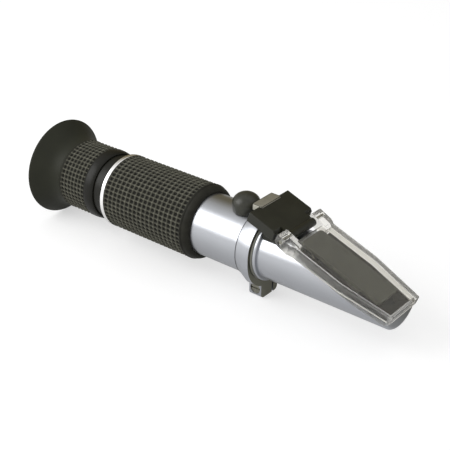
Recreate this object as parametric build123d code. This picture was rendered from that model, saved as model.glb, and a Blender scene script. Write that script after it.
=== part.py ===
from build123d import *
from math import asin, cos, hypot, radians, sin, sqrt
import os

# A hand-held sugar refractometer, in millimetres. X runs along the tube towards the
# prism, Z is up, and the origin is the centre of the flat foot under the clamp lug.
# The instrument lies level on that foot and on the rim of its eyecup.

# Fits and clearances
running = 0.05          # radial gap of a fit that turns or slides
seat_gap = 0.02         # radial gap of a fixed push fit
end_play = 0.1          # gap between flat faces that move past each other
side_gap = 0.3          # gap between neighbours that pass in the open
film_gap = 0.3          # sample film between the cover's pad and the prism
past = 1.0              # how far a cut runs out through a face

# Clamp collar and its lug
axis_height = 18.6      # foot to optical axis
lug_length = 5.2
lug_width = 9.2
lug_corner = 1.6
collar_length = 6.0
collar_wall = 0.95      # above the tube
collar_drop = 1.8       # how far the lower bulge is centred below the axis
flare_length = 3.5
split_width = 0.8
split_offset = 1.9
clamp_height = 3.3      # clamp screw above the foot
clamp_radius = 1.25
clamp_head_radius = 2.0
clamp_head_length = 1.3
clamp_head_sink = 0.25
nut_radius = 2.2
nut_length = 1.4
clamp_tip_sink = 0.2    # end of the clamp screw inside the lug's far face
slot_width = 0.5
slot_depth = 0.6

# Main tube, its grip and the bright ring
tube_radius = 11.5
tube_wall = 1.6
tube_recess = 0.2       # end of the tube inside the collar's front face
tube_showing = 20.3
grip_wall = 2.5
grip_length = 40.2
grip_step = 2.4         # thinner shoulder at the grip's front end
grip_step_drop = 1.2
grip_round = 1.0
bright_ring_length = 1.65
bright_ring_round = 0.35

# Focusing eyepiece
neck_showing = 5.15
focus_travel = 2.0      # each way
sleeve_over_tube = 0.7
sleeve_wall = 1.8
spigot_length = 5.6
spigot_wall = 1.3
sleeve_web = 1.0        # end wall of the sleeve round its spigot's bore
focus_length = 16.9
focus_core_wall = 0.7
focus_rubber_wall = 0.6
focus_lip_length = 3.9  # smooth shoulder ahead of the ribbed rubber
focus_round = 0.4
focus_wall = 1.4
eyecup_seat_drop = 1.7  # seat of the eyecup below the ring's core
eyecup_seat_wall = 2.6
eyecup_seat_length = 4.0
retaining_ring_length = 1.0
retaining_ring_wall = 1.3
cell_flange_length = 1.2
cell_front_gap = 0.6    # left when the cell is fully forward
cell_wall = 1.05
cell_lip = 0.8
cell_lip_step = 1.1
guide_pin_radius = 0.6
guide_pin_depth = 0.6   # how far the pin enters the cell's groove
guide_pin_back = 9.1    # guide pin behind the bright ring
guide_pin_sink = 0.1
damper_width = 1.2
damper_depth = 0.8
damper_back = 12.6

# Eyepiece lenses
eye_lens_edge = 1.4
eye_lens_centre = 3.0
field_lens_edge = 1.2
field_lens_centre = 2.4
lens_rim = 1.2          # flat rim round each curved face
spacer_length = 8.6
spacer_wall = 0.9
lens_retainer_length = 1.6
lens_retainer_wall = 1.18

# Eyecup
eyecup_length = 12.0
eyecup_base_step = 0.2  # eyecup's base above the ring's core
eyecup_lip = 1.1
eyecup_edge = 0.5       # bevel of the rim's outer edge
eyecup_waist = 1.1      # growth of the outside over the straight part
eyecup_waist_share = 0.45
eyecup_inner_step = 1.2
eyecup_inner_drop = 0.5

# Reticle and baffle
reticle_cell_length = 5.5
reticle_cell_gap = 0.4  # behind it, to the guide sleeve's spigot
reticle_cell_wall = 2.3
reticle_pocket_wall = 1.0
reticle_thickness = 1.2
reticle_retainer_length = 1.0
reticle_retainer_wall = 1.0
baffle_back = 27.0      # baffle behind the collar
baffle_thickness = 1.0
baffle_bore = 6.0

# Zero adjustment and the objective
zero_back = 7.9         # zero screw behind the lug's middle
zero_travel = 0.5       # each way
zero_pitch_radius = 0.9
spot_face_depth = 0.5
spot_face_radius = 3.9
bush_radius = 3.0
bush_flange_radius = 3.7
bush_flange_length = 1.0
bush_boss_radius = 3.3
bush_boss_length = 2.4
bush_inside = 0.6       # bush below the tube's spot face, into the bore
zero_head_radius = 2.0
zero_head_length = 1.2
zero_head_sink = 0.6
zero_screw_reach = 3.6  # how far the shank enters the carriage
circlip_radius = 1.8
circlip_thickness = 0.4
carriage_clearance = 0.7
carriage_length = 4.8
carriage_wall = 2.9
carriage_guide_radius = 0.8
carriage_guide_forward = -1.4
carriage_guide_reach = 1.6
carriage_guide_sink = 0.2
strip_width = 4.0
strip_thickness = 0.6
strip_inset = 1.2       # top of the strip inside the carriage's bottom
strip_length = 6.8
strip_grip = 1.9        # strip length held in the carriage
rivet_radius = 0.45
rivet_reach = 0.6
rivet_head = 0.3
objective_cell_length = 3.0
objective_cell_step = 0.2   # cell inside the carriage's outline
objective_cell_flat = 0.6   # depth of the flats on the cell's two sides
objective_cell_wall = 2.0
objective_edge = 1.5
objective_centre = 2.4
objective_lip = 0.5
objective_rim = 0.6

# Rubber cap over the zero screw
cap_radius = 4.95
cap_base_radius = 4.5
cap_dome_height = 4.0
cap_centre_rise = 2.1   # dome's foot above the tube
cap_saddle = 1.6        # depth of the cap's saddle over the tube

# Prism housing
housing_step = 1.1      # housing below the tube's surface
housing_wall = 2.6
housing_spigot = 3.9
housing_spigot_wall = 1.88
flange_step = 0.04
flange_length = 1.4
flange_gap = 0.7        # shadow groove between collar and flange
flange_round = 0.5
housing_length = 50.0
nose_wall = 7.6
nose_round = 1.2

# Sloping head: the cover's pin and the planes parallel to the prism's face
slope = 20.0            # degrees down towards the nose
pin_forward = 15.2
pin_rise = 1.1          # above the housing's top
pin_radius = 0.8
pin_recess = 0.3
cover_top = 1.4         # cover's top face above the pin
cover_plate = 1.5
prism_depth = 3.15      # prism's face below the cover's top
seat_thickness = 1.1

# Hinge block
block_top = 1.05        # block's top face, against the pin
block_thickness = 3.8
block_rear = -14.75
block_front = -3.4
block_front_bevel = 0.9 # clears the ears when the cover is open
block_overhang = 0.15   # block's plate wider than the housing
block_edge_round = 0.25
pedestal_length = 7.0
pedestal_half_width = 7.5
knuckle_radius = 1.5
ridge_half_width = 5.2
ridge_rear = -1.25
ridge_front = 2.8
ridge_rise = 6.15       # above the pin
ridge_thickness = 2.3
block_screw_radius = 1.0
block_screw_head_radius = 1.8
block_screw_head_length = 1.2
block_screw_head_sink = 0.6
block_screw_spacing = 6.0
block_screw_reach = 3.0

# Daylight cover
ear_width = 4.9
ear_overhang = 1.05     # ear outside the side wall
ear_radius = 1.95
ear_top_rear = 2.25
ear_top_front = 1.6
ear_length = 5.5        # from the pin to where the ear meets the side wall
ear_blend = 2.0         # length over which the ear narrows to the side wall
ear_bevel = 0.5
ear_chin = 2.6
ear_chin_rise = 0.4
cover_overhang = 0.35   # cover wider than the housing
cover_taper = 2.75      # narrowing of each side at the front
cover_taper_start = 24.0
cover_front = 43.4
cover_plate_rear = 3.5
cover_wall = 1.35
cover_rear_depth = 4.1
cover_front_depth = 3.3
pad_rear = 4.2
pad_front = 36.9
pad_rear_inset = 3.9    # pad inside the cover's side walls
pad_front_inset = 3.8

# Prism and its seat
seat_front_margin = 0.5
seat_side_gap = 0.6     # seat inside the cover's side walls
prism_rear = 7.0
prism_front = 34.4
prism_side = 2.3        # seat left beside the prism
prism_body_depth = 6.2
prism_rear_slant = 5.0
gasket_thickness = 0.3
plug_radius = 2.15
plug_gap = 0.45         # ahead of the prism
plug_depth = 2.6
plug_sink = 0.3
plug_shank_radius = 1.4

# Radii and widths, worked out from the tube
tube_bore = tube_radius - tube_wall
grip_radius = tube_radius + grip_wall
grip_step_radius = grip_radius - grip_step_drop
collar_radius = tube_radius + collar_wall
sleeve_radius = tube_radius + sleeve_over_tube
sleeve_bore = sleeve_radius - sleeve_wall
spigot_bore = tube_bore - spigot_wall
focus_core_radius = sleeve_radius + focus_core_wall
focus_radius = focus_core_radius + focus_rubber_wall
eyecup_seat_radius = focus_core_radius - eyecup_seat_drop
focus_aperture = eyecup_seat_radius - eyecup_seat_wall
eyecup_base_radius = focus_core_radius + eyecup_base_step
retaining_ring_bore = sleeve_radius - retaining_ring_wall
cell_bore = sleeve_bore - running - cell_wall
cell_lip_bore = cell_bore - cell_lip_step
lens_retainer_bore = cell_bore - seat_gap - lens_retainer_wall
reticle_cell_bore = tube_bore - reticle_cell_wall
reticle_radius = tube_bore - reticle_pocket_wall
reticle_retainer_bore = reticle_radius - reticle_retainer_wall
spot_face_height = tube_radius - spot_face_depth
carriage_radius = tube_bore - carriage_clearance
carriage_bore = carriage_radius - carriage_wall
strip_height = carriage_radius - strip_inset
objective_cell_radius = carriage_radius - objective_cell_step
objective_radius = objective_cell_radius - objective_cell_wall
cap_centre_height = tube_radius + cap_centre_rise
housing_radius = tube_radius - housing_step
housing_bore = housing_radius - housing_wall
spigot_inner = tube_bore - seat_gap - housing_spigot_wall
flange_radius = tube_radius - flange_step
pin_height = housing_radius + pin_rise
ridge_height = pin_height + ridge_rise
block_half_width = housing_radius + block_overhang
cover_half_width = housing_radius + cover_overhang
cover_front_half_width = cover_half_width - cover_taper
ear_outer = cover_half_width + ear_overhang
ear_inner = ear_outer - ear_width
tongue_half_width = ear_inner - side_gap
seat_half_width = cover_half_width - cover_wall - seat_side_gap
prism_half_width = seat_half_width - prism_side
pad_rear_half_width = cover_half_width - cover_wall - pad_rear_inset
pad_front_half_width = cover_half_width - cover_wall - pad_front_inset
plug_forward = prism_front + plug_gap + plug_radius

# Stations along the tube, from the front backwards
collar_front = lug_length / 2
collar_rear = collar_front - collar_length
grip_front = collar_rear - tube_showing
grip_rear = grip_front - grip_length
bright_rear = grip_rear - bright_ring_length
focus_front = bright_rear - neck_showing
focus_rear = focus_front - focus_length
eyecup_rim = focus_rear - eyecup_length
tube_front = collar_front - tube_recess
flange_rear = collar_front + flange_gap
flange_front = flange_rear + flange_length
nose_front = flange_front + housing_length
front_bore = nose_front - nose_wall
zero_x = -zero_back
pin_z = axis_height + pin_height

optical_axis = Axis((0, 0, axis_height), (1, 0, 0))
head = Plane(origin=(pin_forward, 0, pin_z),
             x_dir=(cos(radians(slope)), 0, -sin(radians(slope))),
             z_dir=(sin(radians(slope)), 0, cos(radians(slope))))

prism_plane = cover_top - prism_depth
flat_plane = prism_plane - seat_thickness
cover_low = cover_top - cover_rear_depth
beyond = 2 * housing_length

# The seat starts where the ear's lowest corner, swinging about the pin, passes clear of it
seat_rear = sqrt((hypot(ear_length, cover_low) + side_gap) ** 2 - prism_plane ** 2)


def rod(x0, x1, radius, drop=0.0):
    """Solid cylinder along X between two stations, centred a drop below the optical axis."""
    length = x1 - x0
    place = Pos((x0 + x1) / 2, 0, axis_height - drop) * Rot(0, 90, 0)
    return place * Cylinder(radius, length)


def pipe(x0, x1, outer, inner):
    """Hollow cylinder on the optical axis between two stations."""
    return rod(x0, x1, outer) - rod(x0, x1, inner)


def post(x, y, low, high, radius):
    """Upright cylinder between two heights above the optical axis."""
    return Pos(x, y, axis_height + (low + high) / 2) * Cylinder(radius, high - low)


def cross_pin(x, z, y0, y1, radius):
    """Cylinder along Y between two sides."""
    return Pos(x, (y0 + y1) / 2, z) * Rot(90, 0, 0) * Cylinder(radius, y1 - y0)


def slab(x0, x1, y0, y1, z0, z1):
    """Box between six coordinates."""
    return Pos((x0 + x1) / 2, (y0 + y1) / 2, (z0 + z1) / 2) * Box(x1 - x0, y1 - y0, z1 - z0)


def tilted_slab(s0, s1, half, t0, t1):
    """Box in the sloping head: along the slope, across by its half width, and off the slope."""
    return head.location * slab(s0, s1, -half, half, t0, t1)


def tilted_profile(points, y0, y1):
    """Prism across the head with a side outline of (along, off) points."""
    outline = make_face(Polyline(*[(s, y0, t) for s, t in points], close=True))
    return head.location * extrude(outline, amount=y1 - y0, dir=(0, 1, 0))


def tilted_plan(points, t0, t1):
    """Symmetrical plate in the head from the (along, half width) points of one side."""
    other = [(s, -y) for s, y in reversed(points)]
    outline = make_face(Polyline(*[(s, y, t0) for s, y in points + other], close=True))
    return head.location * extrude(outline, amount=t1 - t0, dir=(0, 0, 1))


def tilted_pin(radius, y0, y1, s=0.0, t=0.0):
    """Cylinder across the head, by default round the cover's pin axis."""
    return head.location * (Pos(s, (y0 + y1) / 2, t) * Rot(90, 0, 0) * Cylinder(radius, y1 - y0))


def lens(flat_x, edge, centre, radius, rim):
    """Plano-convex lens from its flat face; negative thicknesses face backwards."""
    bulge = abs(centre - edge)
    base = radius - rim
    ball = (base ** 2 + bulge ** 2) / (2 * bulge)
    half_turn = asin(base / ball) / 2
    middle = flat_x + centre + (cos(half_turn) - 1) * ball * (1 if centre > 0 else -1)
    crown = ThreePointArc((flat_x + centre, 0, axis_height),
                          (middle, 0, axis_height + ball * sin(half_turn)),
                          (flat_x + edge, 0, axis_height + base))
    rest = Polyline((flat_x + edge, 0, axis_height + base), (flat_x + edge, 0, axis_height + radius),
                    (flat_x, 0, axis_height + radius), (flat_x, 0, axis_height),
                    (flat_x + centre, 0, axis_height))
    return revolve(make_face(crown + rest), optical_axis, 360)


def barrel_tube():
    """Main tube with its zero-screw seat, guide hole and clamping slit."""
    body = pipe(grip_rear, tube_front, tube_radius, tube_bore)
    body -= post(zero_x, 0, spot_face_height, tube_radius + past, spot_face_radius)
    body -= post(zero_x, 0, 0, tube_radius, bush_radius + seat_gap)
    body -= post(zero_x + carriage_guide_forward, 0, -tube_radius, 0, carriage_guide_radius + seat_gap)
    slit_y = split_offset - split_width / 2
    body -= slab(collar_rear - past, tube_front, slit_y, slit_y + split_width, 0, axis_height)
    return body


def collar_outline():
    """Collar without its bore: an upright round and a lower one, both flared from the tube."""
    wide = collar_radius
    flared = collar_rear + flare_length
    start = Plane(origin=(collar_rear, 0, axis_height), x_dir=(0, 1, 0), z_dir=(1, 0, 0))
    upper = Plane(origin=(flared, 0, axis_height), x_dir=(0, 1, 0), z_dir=(1, 0, 0))
    lower = Plane(origin=(flared, 0, axis_height - collar_drop), x_dir=(0, 1, 0), z_dir=(1, 0, 0))
    begin = start * Circle(tube_radius + seat_gap + side_gap)
    shape = loft([begin, upper * Circle(wide)]) + loft([begin, lower * Circle(wide)])
    shape += rod(flared, collar_front, wide) + rod(flared, collar_front, wide, collar_drop)
    shape += slab(flared, collar_front, -wide, wide, axis_height - collar_drop, axis_height)
    return shape


def clamp_collar():
    """Collar with the split lug that the instrument rests on."""
    half = lug_width / 2
    lug = slab(-lug_length / 2, lug_length / 2, -half, half, 0, axis_height - tube_radius)
    corners = lug.edges().filter_by(Axis.X).group_by(Axis.Z)[0]
    lug = fillet(corners, lug_corner)
    body = collar_outline() + lug
    body -= rod(collar_rear - past, collar_front + past, tube_radius + seat_gap)
    slit_y = split_offset - split_width / 2
    body -= slab(collar_rear - past, collar_front + past, slit_y, slit_y + split_width,
                 -past, axis_height)
    body -= cross_pin(0, clamp_height, -half - past, half + past, clamp_radius + running)
    sink = clamp_head_length + clamp_head_sink
    body -= cross_pin(0, clamp_height, -half - past, -half + sink, clamp_head_radius + running)
    body -= nut_prism(half - nut_length, half + past, nut_radius + running)
    return body


def nut_prism(y0, y1, radius):
    """Hexagonal prism across the lug."""
    across = Plane(origin=(0, y0, clamp_height), x_dir=(1, 0, 0), z_dir=(0, 1, 0))
    face = across * RegularPolygon(radius, 6)
    return extrude(face, amount=y1 - y0, dir=(0, 1, 0))


def clamp_screw():
    """Slotted screw that pinches the lug."""
    half = lug_width / 2
    head_front = -half + clamp_head_sink
    head_back = head_front + clamp_head_length
    body = cross_pin(0, clamp_height, head_front, head_back, clamp_head_radius)
    body += cross_pin(0, clamp_height, head_back, half - clamp_tip_sink, clamp_radius)
    across = slab(-clamp_head_radius, clamp_head_radius, head_front, head_front + slot_depth,
                  clamp_height - slot_width / 2, clamp_height + slot_width / 2)
    return body - across


def clamp_nut():
    """Nut in the far side of the lug."""
    half = lug_width / 2
    body = nut_prism(half - nut_length, half, nut_radius)
    return body - cross_pin(0, clamp_height, half - nut_length, half, clamp_radius)


def grip_sleeve():
    """Rubber grip over the tube, stepped down to a rounded shoulder at its front."""
    body = pipe(grip_rear, grip_front, grip_radius, tube_radius + seat_gap)
    step = grip_front - grip_step
    body -= pipe(step, grip_front, grip_radius + past, grip_step_radius)
    middle = (grip_radius + grip_step_radius) / 2
    wall = (grip_step_radius + tube_radius) / 2
    rims = body.edges().filter_by(GeomType.CIRCLE)
    bead = step + grip_step / 2
    outer = [e for e in rims if e.radius > middle or (e.radius > wall and e.center().X > bead)]
    return fillet(outer, grip_round)


def bright_ring():
    """Thin bright ring between the grip and the focusing neck."""
    body = pipe(bright_rear, grip_rear, grip_radius, tube_bore + seat_gap)
    rims = [e for e in body.edges().filter_by(GeomType.CIRCLE) if e.radius > tube_radius]
    return fillet(rims, bright_ring_round)


sleeve_rear = focus_rear + end_play + cell_flange_length + end_play + retaining_ring_length
sleeve_rear = sleeve_rear + focus_travel + side_gap


def guide_sleeve():
    """Black sleeve: its neck shows, the focusing ring turns on it and the lens cell slides in it."""
    body = pipe(sleeve_rear, bright_rear, sleeve_radius, sleeve_bore)
    body += pipe(bright_rear - sleeve_web, bright_rear, sleeve_radius, spigot_bore)
    body += pipe(bright_rear, bright_rear + spigot_length, tube_bore - seat_gap, spigot_bore)
    groove = bright_rear - damper_back
    body -= pipe(groove, groove + damper_width, sleeve_radius + past, sleeve_radius - damper_depth)
    guide_x = bright_rear - guide_pin_back
    return body - post(guide_x, 0, sleeve_bore - past, sleeve_radius + past, guide_pin_radius)


def damper_ring():
    """Greased ring in the sleeve's groove that keeps the focus where it is set."""
    groove = bright_rear - damper_back
    return pipe(groove + end_play, groove + damper_width - end_play, sleeve_radius,
                sleeve_radius - damper_depth)


def guide_pin():
    """Pin through the sleeve into the lens cell's groove."""
    low = sleeve_bore - running - guide_pin_depth
    return post(bright_rear - guide_pin_back, 0, low, sleeve_radius - guide_pin_sink, guide_pin_radius)


cell_rear = focus_rear + end_play
cell_front = bright_rear - sleeve_web - cell_front_gap - focus_travel
lens_pocket = cell_rear + cell_lip


def ocular_cell():
    """Sliding cell of the eyepiece lenses, flanged at the back and grooved for the guide pin."""
    outer = sleeve_bore - running
    body = pipe(cell_rear, cell_front, outer, cell_bore)
    body += pipe(cell_rear, lens_pocket, outer, cell_lip_bore)
    body += pipe(cell_rear, cell_rear + cell_flange_length, sleeve_radius, cell_bore)
    reach = guide_pin_radius + focus_travel + side_gap
    guide_x = bright_rear - guide_pin_back
    half = guide_pin_radius + running
    low = axis_height + outer - guide_pin_depth - end_play
    return body - slab(guide_x - reach, guide_x + reach, -half, half,
                       low, axis_height + sleeve_radius + past)


def eyepiece_lenses():
    """The two lenses, the spacer between their rims and the ring that holds them."""
    radius = cell_bore - seat_gap
    eye = lens(lens_pocket, eye_lens_edge, eye_lens_centre, radius, lens_rim)
    spacer_rear = lens_pocket + eye_lens_edge
    spacer = pipe(spacer_rear, spacer_rear + spacer_length, radius, radius - spacer_wall)
    field_flat = spacer_rear + spacer_length + field_lens_edge
    field = lens(field_flat, -field_lens_edge, -field_lens_centre, radius, lens_rim)
    retainer = pipe(field_flat, field_flat + lens_retainer_length, radius, lens_retainer_bore)
    return eye, spacer, field, retainer


def focus_ring():
    """Turning ring with the rear neck that carries the eyecup."""
    bore = sleeve_radius + running
    body = pipe(focus_rear, focus_front, focus_core_radius, bore)
    body += pipe(focus_front - focus_lip_length, focus_front, focus_radius, bore)
    body += pipe(focus_rear - focus_wall, focus_rear, focus_core_radius, focus_aperture)
    seat_rear_x = focus_rear - eyecup_seat_length
    body += pipe(seat_rear_x, focus_rear, eyecup_seat_radius, focus_aperture)
    rims = [e for e in body.edges().filter_by(GeomType.CIRCLE)
            if e.radius > focus_core_radius and e.center().X > focus_front - focus_lip_length / 2]
    return fillet(rims, focus_round)


def retaining_ring():
    """Ring that keeps the lens cell's flange in the focusing ring."""
    rear = cell_rear + cell_flange_length + end_play
    return pipe(rear, rear + retaining_ring_length, sleeve_radius + running, retaining_ring_bore)


def focus_rubber():
    """Rubber band round the focusing ring."""
    return pipe(focus_rear, focus_front - focus_lip_length, focus_radius, focus_core_radius)


def eyecup():
    """Flared rubber eyecup, open to the back, stretched over the focusing ring's neck."""
    base = focus_rear
    rim = 2 * axis_height
    wall_rear = base - eyecup_seat_length
    waist_x = base - eyecup_length * eyecup_waist_share
    waist = (waist_x, 0, axis_height + eyecup_base_radius + eyecup_waist)
    outer_rim = (eyecup_rim + eyecup_lip, 0, rim)
    bevel_foot = (eyecup_rim, 0, rim - eyecup_edge)
    inner_rim = (eyecup_rim, 0, rim - eyecup_lip)
    inner_foot = (wall_rear - eyecup_inner_drop, 0, axis_height + focus_aperture + eyecup_inner_step)
    outside = Spline((base, 0, axis_height + eyecup_base_radius), waist, outer_rim,
                     tangents=[(-1, 0, 0.05), (-1, 0, 1.05)])
    bevel = Line(outer_rim, bevel_foot)
    lip = Line(bevel_foot, inner_rim)
    inside = Spline(inner_rim, inner_foot, tangents=[(0.55, 0, -1), (1, 0, -0.35)])
    foot = Polyline(inner_foot, (wall_rear, 0, axis_height + focus_aperture + 1.0),
                    (wall_rear, 0, axis_height + eyecup_seat_radius),
                    (base - focus_wall, 0, axis_height + eyecup_seat_radius),
                    (base - focus_wall, 0, axis_height + focus_core_radius),
                    (base, 0, axis_height + focus_core_radius),
                    (base, 0, axis_height + eyecup_base_radius))
    edges = [edge for curve in (outside, bevel, lip, inside, foot) for edge in curve.edges()]
    return revolve(make_face(Wire(edges)), optical_axis, 360)


reticle_rear = bright_rear + spigot_length + reticle_cell_gap


def reticle_cell():
    """Ring in the tube that holds the scale glass."""
    front = reticle_rear + reticle_cell_length
    body = pipe(reticle_rear, front, tube_bore - seat_gap, reticle_cell_bore)
    pocket = reticle_retainer_length + reticle_thickness
    return body - rod(reticle_rear, reticle_rear + pocket, reticle_radius + seat_gap)


def reticle():
    """Scale glass at the eyepiece's focus."""
    rear = reticle_rear + reticle_retainer_length
    return rod(rear, rear + reticle_thickness, reticle_radius)


def reticle_retainer():
    """Ring that holds the scale glass in its cell."""
    front = reticle_rear + reticle_retainer_length
    return pipe(reticle_rear, front, reticle_radius, reticle_retainer_bore)


def light_baffle():
    """Black stop against stray light in the middle of the tube."""
    middle = collar_rear - baffle_back
    return pipe(middle, middle + baffle_thickness, tube_bore - seat_gap, baffle_bore)


bush_top = spot_face_height + bush_flange_length + bush_boss_length
head_floor = bush_top - zero_head_sink - zero_head_length


def zero_bush():
    """Flanged bush in the tube that carries the zero screw."""
    body = post(zero_x, 0, spot_face_height - bush_inside, spot_face_height, bush_radius)
    body += post(zero_x, 0, spot_face_height, spot_face_height + bush_flange_length, bush_flange_radius)
    body += post(zero_x, 0, spot_face_height, bush_top, bush_boss_radius)
    body -= post(zero_x, 0, 0, bush_top + past, zero_pitch_radius + running)
    return body - post(zero_x, 0, head_floor, bush_top + past, zero_head_radius + running)


def zero_screw():
    """Slotted screw that turns in the bush and moves the objective up and down."""
    low = carriage_radius - zero_screw_reach
    body = post(zero_x, 0, low, head_floor, zero_pitch_radius)
    body += post(zero_x, 0, head_floor, head_floor + zero_head_length, zero_head_radius)
    top = axis_height + head_floor + zero_head_length
    return body - slab(zero_x - zero_head_radius, zero_x + zero_head_radius,
                       -slot_width / 2, slot_width / 2, top - slot_depth, top)


def zero_circlip():
    """Clip under the bush that keeps the zero screw from rising."""
    top = spot_face_height - bush_inside - end_play / 2
    clip = post(zero_x, 0, top - circlip_thickness, top, circlip_radius)
    return clip - post(zero_x, 0, 0, top, zero_pitch_radius)


def zero_cap():
    """Domed rubber cap over the zero screw, saddled to the tube and relieved for the collar."""
    floor = tube_radius - cap_saddle
    quarter = Rectangle(cap_radius, cap_dome_height, align=Align.MIN)
    quarter &= Ellipse(cap_radius, cap_dome_height)
    dome = Pos(zero_x, 0, axis_height + cap_centre_height) * revolve(Plane.XZ * quarter, Axis.Z)
    skirt = Cone(cap_base_radius, cap_radius, cap_centre_height - floor)
    body = dome + Pos(zero_x, 0, axis_height + (floor + cap_centre_height) / 2) * skirt
    body -= post(zero_x, 0, 0, bush_top + end_play, bush_boss_radius + running)
    flange_top = spot_face_height + bush_flange_length
    body -= post(zero_x, 0, 0, flange_top + end_play, spot_face_radius + running)
    body -= rod(collar_rear - end_play, collar_front, collar_radius + end_play)
    return body - rod(zero_x - 2 * cap_radius, zero_x + 2 * cap_radius, tube_radius + end_play)


strip_rear = zero_x + carriage_length / 2 - strip_grip
strip_front = strip_rear + strip_length
rivet_top = rivet_reach - strip_height
objective_rear = strip_front - objective_cell_length


def objective_carriage():
    """Ring that the zero screw raises and lowers inside the tube."""
    rear = zero_x - carriage_length / 2
    front = rear + carriage_length
    body = pipe(rear, front, carriage_radius, carriage_bore)
    body -= slab(rear - past, front + past, -tube_radius, tube_radius,
                 axis_height + carriage_radius - zero_travel, axis_height + tube_radius)
    depth = carriage_radius - zero_screw_reach - side_gap - zero_travel
    body -= post(zero_x, 0, depth, tube_radius, zero_pitch_radius + running)
    guide_x = zero_x + carriage_guide_forward
    body -= post(guide_x, 0, -tube_radius, 0, carriage_guide_radius + running)
    body -= post(strip_rear + strip_grip / 2, 0, -strip_height, rivet_top, rivet_radius)
    half = strip_width / 2 + seat_gap
    return body - slab(strip_rear, front + past, -half, half, 0, axis_height - strip_height)


def carriage_guide():
    """Fixed pin under the carriage that stops it turning."""
    high = -carriage_radius + carriage_guide_reach
    guide_x = zero_x + carriage_guide_forward
    return post(guide_x, 0, carriage_guide_sink - tube_radius, high, carriage_guide_radius)


def bimetal_strip():
    """Two-metal strip that carries the objective's cell and corrects for temperature."""
    top = axis_height - strip_height
    body = slab(strip_rear, strip_front, -strip_width / 2, strip_width / 2, top - strip_thickness, top)
    for x in (strip_rear + strip_grip / 2, strip_front - strip_grip / 2):
        body -= post(x, 0, -tube_radius, 0, rivet_radius)
    return body


def strip_rivets():
    """The strip's two rivets, one up into the carriage and one up into the cell."""
    below = -strip_height - strip_thickness
    rivets = []
    for x in (strip_rear + strip_grip / 2, strip_front - strip_grip / 2):
        shank = post(x, 0, below - rivet_head, rivet_top, rivet_radius)
        rivets.append(shank + post(x, 0, below - rivet_head, below, 2 * rivet_radius))
    return rivets


def objective_cell():
    """Ring of the objective lens on the strip's free end."""
    body = pipe(objective_rear, strip_front, objective_cell_radius, objective_radius - objective_rim)
    half = objective_cell_radius - objective_cell_flat
    body &= slab(objective_rear - past, strip_front + past, -half, half,
                 axis_height - strip_height, axis_height + strip_height)
    body -= post(strip_front - strip_grip / 2, 0, -strip_height, rivet_top, rivet_radius)
    return body - rod(objective_rear + objective_lip, strip_front, objective_radius + seat_gap)


def objective_lens():
    """Lens that images the prism's shadow line on the scale."""
    flat = objective_rear + objective_lip
    return lens(flat, objective_edge, objective_centre, objective_radius, objective_rim)


pedestal_rear = flange_front + side_gap
block_screw_x = pedestal_rear + pedestal_length / 2
screw_seat = housing_bore + block_screw_head_sink


def under_flat():
    """Everything below the flat that the prism's seat lies on."""
    return tilted_slab(-beyond, beyond, beyond, -beyond, flat_plane)


def prism_housing():
    """Round housing with its flange and spigot, cut off to a slope that the prism's seat closes."""
    shell = rod(flange_front, nose_front, housing_radius)
    nose = [e for e in shell.edges().filter_by(GeomType.CIRCLE) if e.center().X > front_bore]
    shell = fillet(nose, nose_round)
    flange = rod(flange_rear, flange_front, flange_radius)
    rims = flange.edges().filter_by(GeomType.CIRCLE)
    body = shell + fillet(rims, flange_round)
    body += rod(flange_rear - housing_spigot, flange_rear, tube_bore - seat_gap)
    body &= under_flat()
    body -= rod(flange_rear - housing_spigot, flange_front + past, spigot_inner)
    body -= rod(flange_front + past, front_bore, housing_bore)
    plug_hole = Pos(plug_forward, 0, flat_plane) * Cylinder(plug_shank_radius, 2 * plug_depth)
    body -= head.location * plug_hole
    for y in (-block_screw_spacing / 2, block_screw_spacing / 2):
        body -= post(block_screw_x, y, 0, housing_radius + past, block_screw_radius + seat_gap)
        body -= post(block_screw_x, y, 0, screw_seat, block_screw_head_radius + side_gap)
    return body


def hinge_block():
    """Black bracket of the cover: sloping plate, pedestal on the housing, ridge and pin knuckle."""
    low = block_top - block_thickness
    side = [(block_rear, low), (block_rear, block_top), (block_front - block_front_bevel, block_top),
            (block_front, block_top - block_front_bevel), (block_front, low)]
    plate = tilted_profile(side, -block_half_width, block_half_width)
    plate = fillet(plate.edges(), block_edge_round)
    pedestal = slab(pedestal_rear, pedestal_rear + pedestal_length, -pedestal_half_width,
                    pedestal_half_width, axis_height, axis_height + ridge_height)
    pedestal &= tilted_slab(-beyond, beyond, pedestal_half_width, -beyond, low + block_thickness / 2)
    pedestal -= rod(pedestal_rear - past, nose_front, housing_radius) & under_flat()
    ridge = slab(ridge_rear, ridge_front, -ridge_half_width, ridge_half_width,
                 axis_height + ridge_height - ridge_thickness, axis_height + ridge_height)
    tongue = tilted_slab(block_front - past, 0, tongue_half_width, -knuckle_radius, block_top)
    knuckle = tilted_pin(knuckle_radius, -tongue_half_width, tongue_half_width)
    body = plate + pedestal + ridge + tongue + knuckle
    body -= tilted_pin(pin_radius, -tongue_half_width, tongue_half_width)
    for y in (-block_screw_spacing / 2, block_screw_spacing / 2):
        body -= post(block_screw_x, y, 0, housing_radius + block_screw_reach, block_screw_radius)
    return body


def block_screws():
    """Two screws up through the housing's wall into the hinge block."""
    screws = []
    for y in (-block_screw_spacing / 2, block_screw_spacing / 2):
        low = screw_seat - block_screw_head_length
        shank = post(block_screw_x, y, low, housing_radius + block_screw_reach, block_screw_radius)
        screws.append(shank + post(block_screw_x, y, low, screw_seat, block_screw_head_radius))
    return screws


def hinge_pin():
    """Steel pin held in the block's knuckle, on which the cover's ears turn."""
    return tilted_pin(pin_radius, -ear_outer + pin_recess, ear_outer - pin_recess)


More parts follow.
